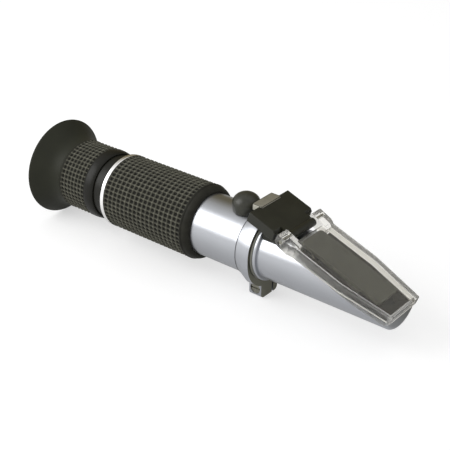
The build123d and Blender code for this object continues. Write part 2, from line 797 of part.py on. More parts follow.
def cover_side(s):
    """Outer half width of the cover at a place along the slope."""
    if s <= cover_taper_start:
        return cover_half_width
    share = (s - cover_taper_start) / (cover_front - cover_taper_start)
    return cover_half_width + share * (cover_front_half_width - cover_half_width)


def cover_ear(side):
    """One hinge ear, rounded about the pin and narrowed to the side wall in front."""
    inner, outer = sorted((side * ear_inner, side * ear_outer))
    blend = ear_length - ear_blend
    profile = [(-ear_radius, 0), (-ear_radius, ear_top_rear - ear_bevel),
               (ear_bevel - ear_radius, ear_top_rear), (blend, ear_top_front), (ear_length, cover_top),
               (ear_length, cover_low), (ear_chin, cover_low + ear_chin_rise), (0, -ear_radius)]
    body = tilted_profile(profile, inner, outer) + tilted_pin(ear_radius, inner, outer)
    plan = [(-beyond, ear_outer), (blend, ear_outer), (ear_length, cover_half_width),
            (ear_length + past, cover_half_width)]
    return body & tilted_plan(plan, -beyond, beyond)


def daylight_cover():
    """Clear cover: top plate, side and front walls that hang round the prism's seat, and two ears."""
    front_low = cover_top - cover_front_depth
    side = [(cover_plate_rear, cover_top), (cover_front, cover_top), (cover_front, front_low),
            (ear_length, cover_low), (cover_plate_rear, cover_low)]
    plan = [(cover_plate_rear, cover_half_width), (cover_taper_start, cover_half_width),
            (cover_front, cover_front_half_width)]
    body = tilted_profile(side, -cover_half_width, cover_half_width)
    body &= tilted_plan(plan, cover_low - past, cover_top + past)
    inner_front = cover_front - cover_wall
    hollow = [(cover_plate_rear - past, cover_half_width - cover_wall),
              (cover_taper_start, cover_half_width - cover_wall),
              (inner_front, cover_side(inner_front) - cover_wall)]
    body -= tilted_plan(hollow, cover_low - past, cover_top - cover_plate)
    body += cover_ear(1) + cover_ear(-1)
    return body - tilted_pin(pin_radius + running, -ear_outer - past, ear_outer + past)


def diffuser_pad():
    """Frosted pad bonded under the cover, a film's thickness above the prism."""
    plan = [(pad_rear, pad_rear_half_width), (pad_front, pad_front_half_width)]
    return tilted_plan(plan, prism_plane + film_gap, cover_top - cover_plate)


def seat_plan():
    """Plan of the prism's seat: parallel, then tapered with the cover."""
    front = cover_front - cover_wall - seat_front_margin
    return [(seat_rear, seat_half_width), (cover_taper_start, seat_half_width),
            (front, cover_side(front) - cover_wall - seat_side_gap)]


def seat_layer(low, high):
    """Plate in the seat's plan, open under the prism and the plug."""
    body = tilted_plan(seat_plan(), low, high)
    body -= tilted_slab(prism_rear - seat_gap, prism_front + seat_gap, prism_half_width + seat_gap,
                        low - past, high + past)
    hole = Pos(plug_forward, 0, (low + high) / 2) * Cylinder(plug_radius + seat_gap, high - low + past)
    return body - head.location * hole


def prism_seat():
    """Black plate on the housing's flat that holds the prism."""
    return seat_layer(flat_plane + gasket_thickness, prism_plane)


def seat_gasket():
    """Thin seal between the seat and the housing's flat."""
    return seat_layer(flat_plane, flat_plane + gasket_thickness)


def measuring_prism():
    """Glass prism: its face lies level with the seat, its slanted back looks down the tube."""
    deep = prism_plane - prism_body_depth
    profile = [(prism_rear, prism_plane), (prism_front, prism_plane),
               (prism_front, prism_plane - seat_thickness), (prism_front - prism_body_depth, deep),
               (prism_rear + prism_rear_slant, deep), (prism_rear, prism_plane - seat_thickness)]
    body = tilted_profile(profile, -prism_half_width, prism_half_width)
    body &= rod(flange_front, front_bore - side_gap, housing_bore - side_gap)
    return body + tilted_slab(prism_rear, prism_front, prism_half_width, flat_plane, prism_plane)


def seat_plug():
    """Round black screw that holds the seat to the nose, ahead of the prism."""
    height = seat_thickness - plug_sink
    disc = Pos(plug_forward, 0, flat_plane + height / 2) * Cylinder(plug_radius, height)
    shank = Pos(plug_forward, 0, flat_plane - plug_depth / 2) * Cylinder(plug_shank_radius, plug_depth)
    return head.location * (disc + shank)


def build_nodes():
    """All the pieces by name."""
    eye_lens, lens_spacer, field_lens, lens_retainer = eyepiece_lenses()
    return {
        "body_tube": barrel_tube(),
        "clamp_collar": clamp_collar(),
        "clamp_screw": clamp_screw(),
        "clamp_nut": clamp_nut(),
        "grip_sleeve": grip_sleeve(),
        "bright_ring": bright_ring(),
        "guide_sleeve": guide_sleeve(),
        "damper_ring": damper_ring(),
        "guide_pin": guide_pin(),
        "ocular_cell": ocular_cell(),
        "eye_lens": eye_lens,
        "lens_spacer": lens_spacer,
        "field_lens": field_lens,
        "lens_retainer": lens_retainer,
        "focus_ring": focus_ring(),
        "retaining_ring": retaining_ring(),
        "focus_rubber": focus_rubber(),
        "eyecup": eyecup(),
        "reticle_cell": reticle_cell(),
        "reticle": reticle(),
        "reticle_retainer": reticle_retainer(),
        "light_baffle": light_baffle(),
        "zero_bush": zero_bush(),
        "zero_screw": zero_screw(),
        "zero_circlip": zero_circlip(),
        "zero_cap": zero_cap(),
        "objective_carriage": objective_carriage(),
        "carriage_guide": carriage_guide(),
        "bimetal_strip": bimetal_strip(),
        "strip_rivets": Compound(children=strip_rivets()),
        "objective_cell": objective_cell(),
        "objective_lens": objective_lens(),
        "prism_housing": prism_housing(),
        "hinge_block": hinge_block(),
        "block_screws": Compound(children=block_screws()),
        "hinge_pin": hinge_pin(),
        "daylight_cover": daylight_cover(),
        "diffuser_pad": diffuser_pad(),
        "prism_seat": prism_seat(),
        "seat_gasket": seat_gasket(),
        "measuring_prism": measuring_prism(),
        "seat_plug": seat_plug(),
    }


os.makedirs("parts", exist_ok=True)
for node, shape in build_nodes().items():
    export_step(shape, f"parts/{node}.step")
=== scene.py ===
"""Looks of a hand-held brix refractometer, dressed round its packed solids."""

import logging
from dataclasses import dataclass
from enum import Enum
from functools import cache
from typing import Optional, Sequence

import bmesh
import bpy
import numpy as np
from mathutils import Matrix, Vector


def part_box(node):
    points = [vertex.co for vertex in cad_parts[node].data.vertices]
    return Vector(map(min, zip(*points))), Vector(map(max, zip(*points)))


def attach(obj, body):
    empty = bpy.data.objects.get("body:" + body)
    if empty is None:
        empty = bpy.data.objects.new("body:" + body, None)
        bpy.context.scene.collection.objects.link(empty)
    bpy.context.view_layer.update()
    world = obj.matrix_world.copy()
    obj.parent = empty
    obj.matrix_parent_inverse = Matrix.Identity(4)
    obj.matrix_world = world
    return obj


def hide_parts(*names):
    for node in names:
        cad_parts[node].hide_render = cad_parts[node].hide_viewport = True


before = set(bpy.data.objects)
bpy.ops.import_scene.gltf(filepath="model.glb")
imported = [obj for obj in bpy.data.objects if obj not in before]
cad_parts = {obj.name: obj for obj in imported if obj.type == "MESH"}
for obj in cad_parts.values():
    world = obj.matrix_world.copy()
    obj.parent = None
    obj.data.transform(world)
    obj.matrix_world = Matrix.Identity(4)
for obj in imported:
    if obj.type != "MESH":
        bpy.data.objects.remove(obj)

LOG = logging.getLogger("refractometer")
Pair = tuple[float, float]
Colour = tuple[float, float, float]
Stops = Sequence[tuple[float, Colour]]
Piece = bpy.types.Object
Socket = bpy.types.NodeSocket
Owner = bpy.types.Material | bpy.types.World
TAU = 2.0 * np.pi
MM = 0.001
# A hair's breadth, for gaps and tolerances that don't show
HAIR = 0.02 * MM
# Points of an outline closer than this are one point, and so are corners of a mesh
SAME_POINT = 1e-8
SAME_CORNER = 1e-6
# Faces that meet at less than this many degrees are one flat face
FLAT_ANGLE = 1.0
# Edges that turn by more than this many degrees are rounded, in this many steps
SHARP_ANGLE = 30.0
EDGE_STEPS = 2
# The corners of a thin plate are its edges shorter than this, rounded in this many steps
CORNER_EDGE = 1.5 * MM
CORNER_STEPS = 6
# Where the mottling noise is darkest and palest
CLOUD_LOW, CLOUD_HIGH = 0.3, 0.7
# Sockets of the Mix node that belong to colours: the factor, the two colours and the result
MIX_FACTOR, MIX_FIRST, MIX_SECOND, MIX_RESULT = 0, 6, 7, 2


class Way(Enum):
    """The frame's axes, as the instrument lies in it."""

    ALONG = 0
    ACROSS = 1
    UP = 2


@dataclass(frozen=True)
class Ring:
    """Where a round node lies: its two stations on the optical axis, its radius and the axis height."""

    rear: float
    front: float
    radius: float
    height: float

    @classmethod
    def of(cls, node: str) -> "Ring":
        """Read a round node's place from its box.

        Args:
            node: name of the packed node.

        Returns:
            The ring that holds the node.
        """
        low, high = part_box(node)
        radius = (high[Way.ACROSS.value] - low[Way.ACROSS.value]) / 2
        return cls(low[Way.ALONG.value], high[Way.ALONG.value], radius, high[Way.UP.value] - radius)


def corner_arc(centre: Pair, radii: Pair, start: float, end: float, count: int = 9) -> np.ndarray:
    """Points on a quarter or other stretch of an ellipse: centre + radii times (cos a, sin a).

    Args:
        centre: station and radius of the ellipse's centre.
        radii: half axes along and off the optical axis.
        start: first angle in degrees.
        end: last angle in degrees.
        count: number of points.

    Returns:
        Array of (station, radius) points.
    """
    angle = np.radians(np.linspace(start, end, count))
    return np.stack([centre[0] + radii[0] * np.cos(angle), centre[1] + radii[1] * np.sin(angle)], axis=1)


def bezier(points: Sequence[Pair], count: int) -> np.ndarray:
    """Cubic Bezier curve: the four points weighted by the Bernstein polynomials of t.

    Args:
        points: the curve's four control points as (station, radius).
        count: number of points on the curve.

    Returns:
        Array of (station, radius) points.
    """
    t = np.linspace(0.0, 1.0, count)[:, None]
    a, b, c, d = (np.array(point) for point in points)
    return (1 - t) ** 3 * a + 3 * (1 - t) ** 2 * t * b + 3 * (1 - t) * t ** 2 * c + t ** 3 * d


def joined(*parts: np.ndarray) -> np.ndarray:
    """Put stretches of an outline together and drop points that repeat the one before.

    Args:
        parts: arrays of (station, radius) points, in order.

    Returns:
        One array of points.
    """
    outline = np.concatenate([np.atleast_2d(part) for part in parts])
    step = np.linalg.norm(np.diff(outline, axis=0), axis=1)
    return outline[np.concatenate([[True], step > SAME_POINT])]


def smooth_object(name: str, points: np.ndarray, faces: list[list[int]]) -> Piece:
    """Smooth-shaded object from its points and faces.

    Args:
        name: name of the new object.
        points: array of points whose last axis holds their three coordinates, in metres.
        faces: indices of each face's points.

    Returns:
        The new object.
    """
    mesh = bpy.data.meshes.new(name)
    mesh.from_pydata(points.reshape(-1, 3).tolist(), [], faces)
    mesh.polygons.foreach_set("use_smooth", np.ones(len(faces), dtype=bool))
    mesh.update()
    piece = bpy.data.objects.new(name, mesh)
    bpy.context.scene.collection.objects.link(piece)
    return piece


def grid_object(name: str, points: np.ndarray, relief: Optional[np.ndarray] = None) -> Piece:
    """Closed surface from a grid of points that wraps round in both directions.

    Each quad joins point (i, j) to its neighbours at i + 1 and j + 1, counted modulo the grid's size, and
    all are turned over if the volume that they enclose comes out negative.

    Args:
        name: name of the new object.
        points: array of rows by columns by three coordinates, in metres.
        relief: optional height of the surface pattern at each point, 0 to 1, kept as an attribute.

    Returns:
        The new smooth-shaded object.
    """
    rows, columns = points.shape[:2]
    index = np.arange(rows * columns).reshape(rows, columns)
    right = np.roll(index, -1, axis=1)
    below = np.roll(index, -1, axis=0)
    faces = np.stack([index, right, np.roll(right, -1, axis=0), below], axis=-1).reshape(-1, 4)
    flat = points.reshape(-1, 3)
    corner = [flat[faces[:, k]] for k in range(4)]
    volume = np.einsum("ij,ij->", corner[0], np.cross(corner[1], corner[2]))
    volume += np.einsum("ij,ij->", corner[0], np.cross(corner[2], corner[3]))
    if volume < 0:
        faces = faces[:, ::-1]
    piece = smooth_object(name, points, faces.tolist())
    if relief is not None:
        attribute = piece.data.attributes.new("relief", "FLOAT", "POINT")
        attribute.data.foreach_set("value", relief.reshape(-1).astype(np.float32))
    return piece


@dataclass
class Knurl:
    """Grid of ridges along and round a grip, with a pit in each cell.

    A ridge rises from its foot to its shoulder, as shares of its wave, and its line lies below a crossing.
    Samples are the points along one cell, and smooth is the paint value of the rubber beside the grid.
    """

    rear: float
    front: float
    columns: int
    around: int
    depth: float = 0.8 * MM
    line: float = 0.68
    foot: float = 0.36
    shoulder: float = 1.0
    samples: int = 8
    smooth: float = 0.31

    def height(self, station: np.ndarray, angle: np.ndarray) -> np.ndarray:
        """Height of the grid: 1 - (1 - a)(1 - b) on the ridges, raised to 1 where ridges a and b cross.

        Each ridge is a smooth step of its raised cosine, so that it has a flat top and sloping sides.

        Args:
            station: stations along the axis.
            angle: angles round the axis.

        Returns:
            Heights from 0 in the pits to 1 where two ridges cross; 1 outside the grid.
        """
        ridge_along = self.ridge(0.5 + 0.5 * np.cos(TAU * self.columns * self.share(station)))
        ridge_round = self.ridge(0.5 + 0.5 * np.cos(self.around * angle))
        grid = 1.0 - (1.0 - ridge_along) * (1.0 - ridge_round)
        height = self.line * grid + (1.0 - self.line) * ridge_along * ridge_round
        return np.where(self.inside(station), height, 1.0)

    def share(self, station: np.ndarray) -> np.ndarray:
        """How far along the grid a station lies, from 0 to 1."""
        return (station - self.rear) / (self.front - self.rear)

    def inside(self, station: np.ndarray) -> np.ndarray:
        """Whether a station lies between the grid's ends."""
        share = self.share(station)
        return (share > 0.0) & (share < 1.0)

    def paint(self, station: np.ndarray, height: np.ndarray) -> np.ndarray:
        """Value that the finish reads: the height in the grid, a low value on the rubber beside it."""
        return np.where(self.inside(station), height, self.smooth)

    def ridge(self, wave: np.ndarray) -> np.ndarray:
        """Smooth step of a wave between the ridge's foot and its shoulder."""
        rise = np.clip((wave - self.foot) / (self.shoulder - self.foot), 0.0, 1.0)
        return rise * rise * (3.0 - 2.0 * rise)

    def crest(self, radius: float) -> np.ndarray:
        """Stretch of outline that samples each column evenly at one radius."""
        stations = np.linspace(self.rear, self.front, self.columns * self.samples + 1)
        return np.stack([stations, np.full(len(stations), radius)], axis=1)

    def segments(self) -> int:
        """Columns of a turned surface that sample each ridge evenly."""
        return self.around * self.samples


def lathe(name: str, outline: np.ndarray, height: float, segments: int = 160,
          knurl: Optional[Knurl] = None) -> Piece:
    """Turn a closed outline about the optical axis: (x, r sin a, height + r cos a).

    Args:
        name: name of the new object.
        outline: closed outline of (station, radius) points that stays off the axis.
        height: height of the optical axis.
        segments: number of columns round the axis.
        knurl: optional grid of ridges, cut into the outermost part of the outline.

    Returns:
        The turned object.
    """
    angle = np.arange(segments) * TAU / segments
    station = np.repeat(outline[:, :1], segments, axis=1)
    radius = np.repeat(outline[:, 1:], segments, axis=1)
    around = np.repeat(angle[None, :], len(outline), axis=0)
    relief = None
    if knurl is not None:
        outside = radius > radius.max() - HAIR
        grid = np.where(outside, knurl.height(station, around), 1.0)
        # The relief also drives the painted shade in the pits and the painted highlights on the ridges
        relief = np.where(outside, knurl.paint(station, grid), knurl.smooth)
        radius = radius - knurl.depth * (1.0 - grid)
    points = np.stack([station, radius * np.sin(around), height + radius * np.cos(around)], axis=-1)
    return grid_object(name, points, relief)


def capped_object(name: str, points: np.ndarray) -> Piece:
    """Closed surface from rows of points that wrap round, with one flat face over each end row.

    Args:
        name: name of the new object.
        points: array of rows by columns by three coordinates, in metres.

    Returns:
        The new smooth-shaded object.
    """
    rows, columns = points.shape[:2]
    index = np.arange(rows * columns).reshape(rows, columns)
    right = np.roll(index, -1, axis=1)
    sides = np.stack([index[:-1], right[:-1], right[1:], index[1:]], axis=-1).reshape(-1, 4)
    piece = smooth_object(name, points, sides.tolist() + [index[0, ::-1].tolist(), index[-1].tolist()])
    shell = bmesh.new()
    shell.from_mesh(piece.data)
    bmesh.ops.recalc_face_normals(shell, faces=shell.faces)
    shell.to_mesh(piece.data)
    shell.free()
    return piece


def rounded_bar(name: str, low: Vector, high: Vector, radius: float, steps: int = 6) -> Piece:
    """Bar across the instrument: a rounded rectangle carried along Y, drawn in round at its ends.

    The section is the box's outline with quarter circles of the given radius at its corners. At a distance d
    from an end, up to the radius, the section shrinks by radius - sqrt(radius^2 - (radius - d)^2).

    Args:
        name: name of the new object.
        low: lowest corner of the bar.
        high: highest corner of the bar.
        radius: radius of its edges.
        steps: points on each quarter circle.

    Returns:
        The bar.
    """
    angle = np.radians(np.linspace(0.0, 90.0, steps))
    centres = ((high.x - radius, high.z - radius), (low.x + radius, high.z - radius),
               (low.x + radius, low.z + radius), (high.x - radius, low.z + radius))
    section = np.concatenate([corner_arc(centre, (radius, radius), 90.0 * turn, 90.0 * (turn + 1), steps)
                              for turn, centre in enumerate(centres)])
    middle = np.array([(low.x + high.x) / 2, (low.z + high.z) / 2])
    half = np.array([(high.x - low.x) / 2, (high.z - low.z) / 2])
    inset = radius * (1.0 - np.cos(angle))
    depth = radius * (1.0 - np.sin(angle))
    stations = np.concatenate([low.y + depth[::-1], high.y - depth])
    draw = np.concatenate([inset[::-1], inset])
    scale = 1.0 - draw[:, None, None] / half
    ring = middle + (section - middle) * scale
    across = np.broadcast_to(stations[:, None], ring.shape[:2])
    return capped_object(name, np.stack([ring[..., 0], across, ring[..., 1]], axis=-1))


def bevelled_copy(node: str, name: str, width: float, flat: bool = False, corner: float = 0.0) -> Piece:
    """Copy a node's mesh, merge its doubles and flat faces, drop its kept normals and round sharp edges.

    Args:
        node: packed node to copy.
        name: name of the new object.
        width: width of the rounding in metres.
        flat: keep every face flat, as moulded clear plastic needs.
        corner: radius in metres of a thin plate's corners, whose edges are shorter than CORNER_EDGE.

    Returns:
        The new object, with a Bevel modifier.
    """
    piece = bpy.data.objects.new(name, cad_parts[node].data.copy())
    bpy.context.scene.collection.objects.link(piece)
    mesh = bmesh.new()
    mesh.from_mesh(piece.data)
    bmesh.ops.remove_doubles(mesh, verts=mesh.verts, dist=SAME_CORNER)
    bmesh.ops.dissolve_limit(mesh, angle_limit=np.radians(FLAT_ANGLE), verts=mesh.verts, edges=mesh.edges)
    if corner:
        short = [edge for edge in mesh.edges if edge.calc_length() < CORNER_EDGE]
        bmesh.ops.bevel(mesh, geom=short, offset=corner, offset_type="OFFSET", segments=CORNER_STEPS,
                        profile=0.5, affect="EDGES")
    for face in mesh.faces:
        face.smooth = not flat
    sharp = float(np.radians(SHARP_ANGLE))
    for edge in mesh.edges:
        edge.smooth = edge.calc_face_angle(0.0) < sharp
    mesh.to_mesh(piece.data)
    mesh.free()
    kept = piece.data.attributes.get("custom_normal")
    if kept:
        piece.data.attributes.remove(kept)
    bevel = piece.modifiers.new("rounding", "BEVEL")
    bevel.width = width
    bevel.segments = EDGE_STEPS
    bevel.limit_method = "ANGLE"
    bevel.angle_limit = sharp
    bevel.harden_normals = not flat
    bevel.use_clamp_overlap = True
    return piece


class NodeTree:
    """Thin wrapper that adds and links the shader nodes of a material or of the world."""

    def __init__(self, owner: Owner, output: str = "ShaderNodeOutputMaterial") -> None:
        """Empty the owner's tree and add its output.

        Args:
            owner: the material or world.
            output: type name of the output node.
        """
        owner.use_nodes = True
        self.owner = owner
        self.tree = owner.node_tree
        self.tree.nodes.clear()
        self.output = self.add(output)

    def add(self, kind: str, **values: object) -> bpy.types.Node:
        """Add a node and set its properties or its input values.

        Args:
            kind: the node's type name.
            values: properties of the node, or inputs by name with spaces as underscores.

        Returns:
            The new node.
        """
        node = self.tree.nodes.new(kind)
        for key, value in values.items():
            if hasattr(node, key):
                setattr(node, key, value)
            else:
                node.inputs[key.replace("_", " ")].default_value = value
        return node

    def link(self, start: Socket, end: Socket) -> None:
        """Join an output to an input."""
        self.tree.links.new(start, end)

    def combine(self, kind: str, first: Socket, second: Socket, **values: object) -> bpy.types.Node:
        """Add a node that works on two outputs.

        Args:
            kind: the node's type name.
            first: output that feeds its first input.
            second: output that feeds its second input.
            values: properties of the node.

        Returns:
            The new node.
        """
        node = self.add(kind, **values)
        self.link(first, node.inputs[0])
        self.link(second, node.inputs[1])
        return node

    def object_noise(self, scale: float, detail: float = 3.0) -> Socket:
        """Noise on Object coordinates.

        Args:
            scale: cells of the noise per metre.
            detail: octaves of the noise.

        Returns:
            The noise's value output.
        """
        place = self.add("ShaderNodeTexCoord")
        noise = self.add("ShaderNodeTexNoise", Scale=scale, Detail=detail)
        self.link(place.outputs["Object"], noise.inputs["Vector"])
        return noise.outputs["Fac"]

    def ramp(self, factor: Socket, stops: Stops) -> Socket:
        """Colour ramp over a factor.

        Args:
            factor: value that drives the ramp.
            stops: positions and colours, in order.

        Returns:
            The ramp's colour output.
        """
        ramp = self.add("ShaderNodeValToRGB")
        elements = ramp.color_ramp.elements
        while len(elements) < len(stops):
            elements.new(0.5)
        for element, (position, colour) in zip(elements, stops):
            element.position = position
            element.color = (*colour, 1.0)
        self.link(factor, ramp.inputs["Fac"])
        return ramp.outputs["Color"]

    def times(self, colour: Socket, factor: Socket) -> Socket:
        """Product of two colours, which may pass 1."""
        return self.combine("ShaderNodeVectorMath", colour, factor, operation="MULTIPLY").outputs["Vector"]


def grey(value: float) -> Colour:
    """A neutral colour."""
    return (value,) * 3


def shade(colour: Colour, factor: float) -> Colour:
    """A colour made darker or lighter by one factor."""
    return tuple(min(1.0, channel * factor) for channel in colour)


@dataclass(frozen=True)
class Finish:
    """An opaque surface with mottled colour, uneven gloss and a fine grain."""

    name: str
    slot: str
    colour: Colour
    roughness: float
    metallic: float = 0.0
    mottle: float = 0.12
    mottle_size: float = 4.0 * MM
    grain_size: float = 0.25 * MM
    grain_depth: float = 0.004 * MM
    gloss: float = 0.5
    uneven: float = 0.1

    def material(self) -> bpy.types.Material:
        """Build the node material.

        Returns:
            The finished material.
        """
        tree = NodeTree(bpy.data.materials.new(f"look_{self.name}"))
        surface = tree.add("ShaderNodeBsdfPrincipled", Metallic=self.metallic)
        surface.inputs["Specular IOR Level"].default_value = self.gloss
        cloud = tree.object_noise(1.0 / self.mottle_size)
        low, high = shade(self.colour, 1.0 - self.mottle), shade(self.colour, 1.0 + self.mottle)
        mottled = tree.ramp(cloud, [(CLOUD_LOW, low), (CLOUD_HIGH, high)])
        tree.link(self.tint(tree, mottled), surface.inputs["Base Color"])
        spread = tree.add("ShaderNodeMapRange", To_Min=self.roughness * (1.0 - self.uneven),
                          To_Max=self.roughness * (1.0 + self.uneven))
        tree.link(cloud, spread.inputs["Value"])
        tree.link(spread.outputs["Result"], surface.inputs["Roughness"])
        bump = tree.add("ShaderNodeBump", Distance=self.grain_depth)
        tree.link(tree.object_noise(1.0 / self.grain_size, detail=2.0), bump.inputs["Height"])
        tree.link(bump.outputs["Normal"], surface.inputs["Normal"])
        tree.link(surface.outputs["BSDF"], tree.output.inputs["Surface"])
        return tree.owner

    def tint(self, tree: NodeTree, colour: Socket) -> Socket:
        """Leave the mottled colour as it is."""
        return colour


@dataclass(frozen=True)
class KnurlPaintedShadeFinish(Finish):
    """Rubber with painted shade in the pits and painted highlights on the ridges and their crossings, read
    from the relief attribute.
    """

    pit: float = 0.13
    line: float = 0.75
    crossing: float = 1.3
    pit_height: float = 0.25
    line_height: float = 0.64

    def tint(self, tree: NodeTree, colour: Socket) -> Socket:
        """Paint shade into the pits and paint highlights on the ridges and where they cross.

        Args:
            tree: the material's nodes.
            colour: the mottled colour.

        Returns:
            The colour with the painted shade and highlights worked in.
        """
        relief = tree.add("ShaderNodeAttribute", attribute_name="relief")
        # The ramp paints shade into the pits, a highlight on the ridges and a brighter highlight where they
        # cross
        stops = [(self.pit_height, grey(self.pit)), (self.line_height, grey(self.line)),
                 (1.0, grey(self.crossing))]
        return tree.times(colour, tree.ramp(relief.outputs["Fac"], stops))


@dataclass(frozen=True)
class FrontShadedFinish(Finish):
    """Metal with painted shade that darkens the faces that look forwards."""

    # Painted shade: the front colour darkens the faces that look forwards, growing as the normal's X rises
    # between the two limits below
    front: Colour = (0.5, 0.48, 0.36)
    turned: float = 0.6
    full_shade: float = 0.95

    def tint(self, tree: NodeTree, colour: Socket) -> Socket:
        """Paint shade on the faces that look forwards, growing as their normal's X rises between the two
        limits.

        Args:
            tree: the material's nodes.
            colour: the mottled colour.

        Returns:
            The colour with the sawn faces worked in.
        """
        place = tree.add("ShaderNodeTexCoord")
        axes = tree.add("ShaderNodeSeparateXYZ")
        tree.link(place.outputs["Normal"], axes.inputs["Vector"])
        stops = [(self.turned, grey(1.0)), (self.full_shade, self.front)]
        return tree.times(colour, tree.ramp(axes.outputs["X"], stops))


@dataclass(frozen=True)
class ClearFinish:
    """Clear plastic or glass, rougher on faces that carry the frosted attribute."""

    name: str
    slot: str
    colour: Colour
    index: float = 1.49
    roughness: float = 0.05
    frost: float = 0.0
    cloud: float = 0.03
    cloud_size: float = 3.0 * MM

    def material(self) -> bpy.types.Material:
        """Build the node material.

        Returns:
            The finished material.
        """
        tree = NodeTree(bpy.data.materials.new(f"look_{self.name}"))
        surface = tree.add("ShaderNodeBsdfPrincipled", Roughness=self.roughness, IOR=self.index)
        surface.inputs["Transmission Weight"].default_value = 1.0
        if self.frost > self.roughness:
            sides = tree.add("ShaderNodeAttribute", attribute_name="frosted")
            spread = tree.add("ShaderNodeMapRange", To_Min=self.roughness, To_Max=self.frost)
            tree.link(sides.outputs["Fac"], spread.inputs["Value"])
            tree.link(spread.outputs["Result"], surface.inputs["Roughness"])
        stops = [(CLOUD_LOW, shade(self.colour, 1.0 - self.cloud)), (CLOUD_HIGH, self.colour)]
        cloudy = tree.ramp(tree.object_noise(1.0 / self.cloud_size), stops)
        tree.link(cloudy, surface.inputs["Base Color"])
        tree.link(surface.outputs["BSDF"], tree.output.inputs["Surface"])
        return tree.owner


EYECUP_RUBBER = Finish("eyecup_rubber", "eyecup_rubber", (0.023, 0.024, 0.016), 0.5, mottle=0.12,
                       mottle_size=9 * MM, grain_size=0.35 * MM, grain_depth=0.01 * MM, gloss=0.14)
# Its pits carry painted shade and its ridges painted highlights
GRIP_RUBBER = KnurlPaintedShadeFinish("grip_rubber", "grip_rubber", (0.105, 0.103, 0.08), 0.5, mottle=0.2,
                            mottle_size=2.5 * MM, grain_size=0.2 * MM, grain_depth=0.01 * MM, gloss=0.1)
CAP_RUBBER = Finish("cap_rubber", "cap_rubber", (0.03, 0.03, 0.021), 0.32, mottle=0.25,
                    mottle_size=2 * MM, grain_size=0.3 * MM, grain_depth=0.012 * MM, gloss=0.4)
SEAL_RUBBER = Finish("seal_rubber", "seal_rubber", (0.03, 0.029, 0.026), 0.6, gloss=0.2)
SATIN_ALUMINIUM = Finish("satin_aluminium", "satin_aluminium", (0.425, 0.437, 0.462), 0.3, metallic=1.0,
                         mottle=0.02, mottle_size=14 * MM, grain_size=0.09 * MM, grain_depth=0.0012 * MM)
# The tube's finish, with painted shade on its faces that look forwards
COLLAR_ALUMINIUM = FrontShadedFinish(**(vars(SATIN_ALUMINIUM) | {"name": "collar_aluminium"}))
GROOVE_GREY = Finish("groove_grey", "satin_aluminium", (0.33, 0.33, 0.28), 0.5, mottle=0.05,
                     mottle_size=14 * MM, gloss=0.3)
BRIGHT_TRIM = Finish("bright_trim", "bright_trim", (0.92, 0.91, 0.9), 0.22, metallic=1.0, mottle=0.02,
                     grain_size=0.1 * MM, grain_depth=0.001 * MM)
RIDGE_METAL = Finish("ridge_metal", "screw_steel", (0.39, 0.38, 0.325), 0.38, metallic=0.75, mottle=0.08,
                     mottle_size=1.5 * MM, grain_size=0.15 * MM, grain_depth=0.003 * MM)
BLACK_METAL = Finish("black_metal", "black_metal", (0.009, 0.0088, 0.006), 0.36, mottle=0.15,
                     grain_size=0.12 * MM, grain_depth=0.003 * MM, gloss=0.2)
HINGE_BLACK = Finish("hinge_black", "hinge_black", (0.015, 0.0155, 0.009), 0.3, mottle=0.2,
                     grain_size=0.3 * MM, grain_depth=0.004 * MM, gloss=0.35)
SEAT_BLACK = Finish("seat_black", "seat_black", (0.008, 0.0062, 0.0025), 0.4, mottle=0.1, gloss=0.1)
PLUG_BLACK = Finish("plug_black", "seat_black", (0.003, 0.003, 0.0025), 0.5, mottle=0.1, gloss=0.05)
SCREW_STEEL = Finish("screw_steel", "screw_steel", (0.25, 0.245, 0.205), 0.35, metallic=1.0,
                     mottle=0.15, mottle_size=1.0 * MM)
SCREW_BRASS = Finish("screw_brass", "screw_brass", (0.6, 0.44, 0.18), 0.35, metallic=1.0, mottle=0.1)
STRIP_METAL = Finish("strip_metal", "strip_metal", (0.5, 0.48, 0.44), 0.4, metallic=1.0)
PAD_FROSTED = Finish("pad_frosted", "pad_frosted", (0.088, 0.09, 0.07), 0.5, mottle=0.4,
                     mottle_size=0.5 * MM, grain_size=0.2 * MM, grain_depth=0.02 * MM, gloss=0.2)
COVER_PLASTIC = ClearFinish("cover_plastic", "cover_plastic", (0.915, 0.902, 0.862), frost=0.5)
LENS_GLASS = ClearFinish("lens_glass", "lens_glass", (0.93, 0.97, 0.96), index=1.52, roughness=0.0)
PRISM_GLASS = ClearFinish("prism_glass", "prism_glass", (0.9, 0.88, 0.8), index=1.6, roughness=0.0)


@cache
def made(finish: Finish | ClearFinish) -> bpy.types.Material:
    """Material of a finish, built once."""
    return finish.material()


@dataclass
class Assembly:
    """A sub-assembly of the instrument that dresses its nodes and adds pieces, which ride on its body."""

    body: str

    def dress(self, finish: Finish | ClearFinish, *nodes: str) -> None:
        """Give packed nodes a finish.

        Args:
            finish: the finish that they take.
            nodes: names of the nodes.
        """
        material = made(finish)
        for node in nodes:
            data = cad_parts[node].data
            data.materials.clear()
            data.materials.append(material)
            LOG.info("dressed %s with %s", node, finish.name)

    def place(self, piece: Piece, finish: Finish | ClearFinish, *replaced: str) -> None:
        """Finish a new piece and fix it to the sub-assembly's body.

        Args:
            piece: the new object.
            finish: its finish.
            replaced: packed nodes that it stands for.
        """
        piece.data.materials.clear()
        piece.data.materials.append(made(finish))
        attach(piece, self.body)
        if replaced:
            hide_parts(*replaced)
        LOG.info("placed %s on %s", piece.name, self.body)


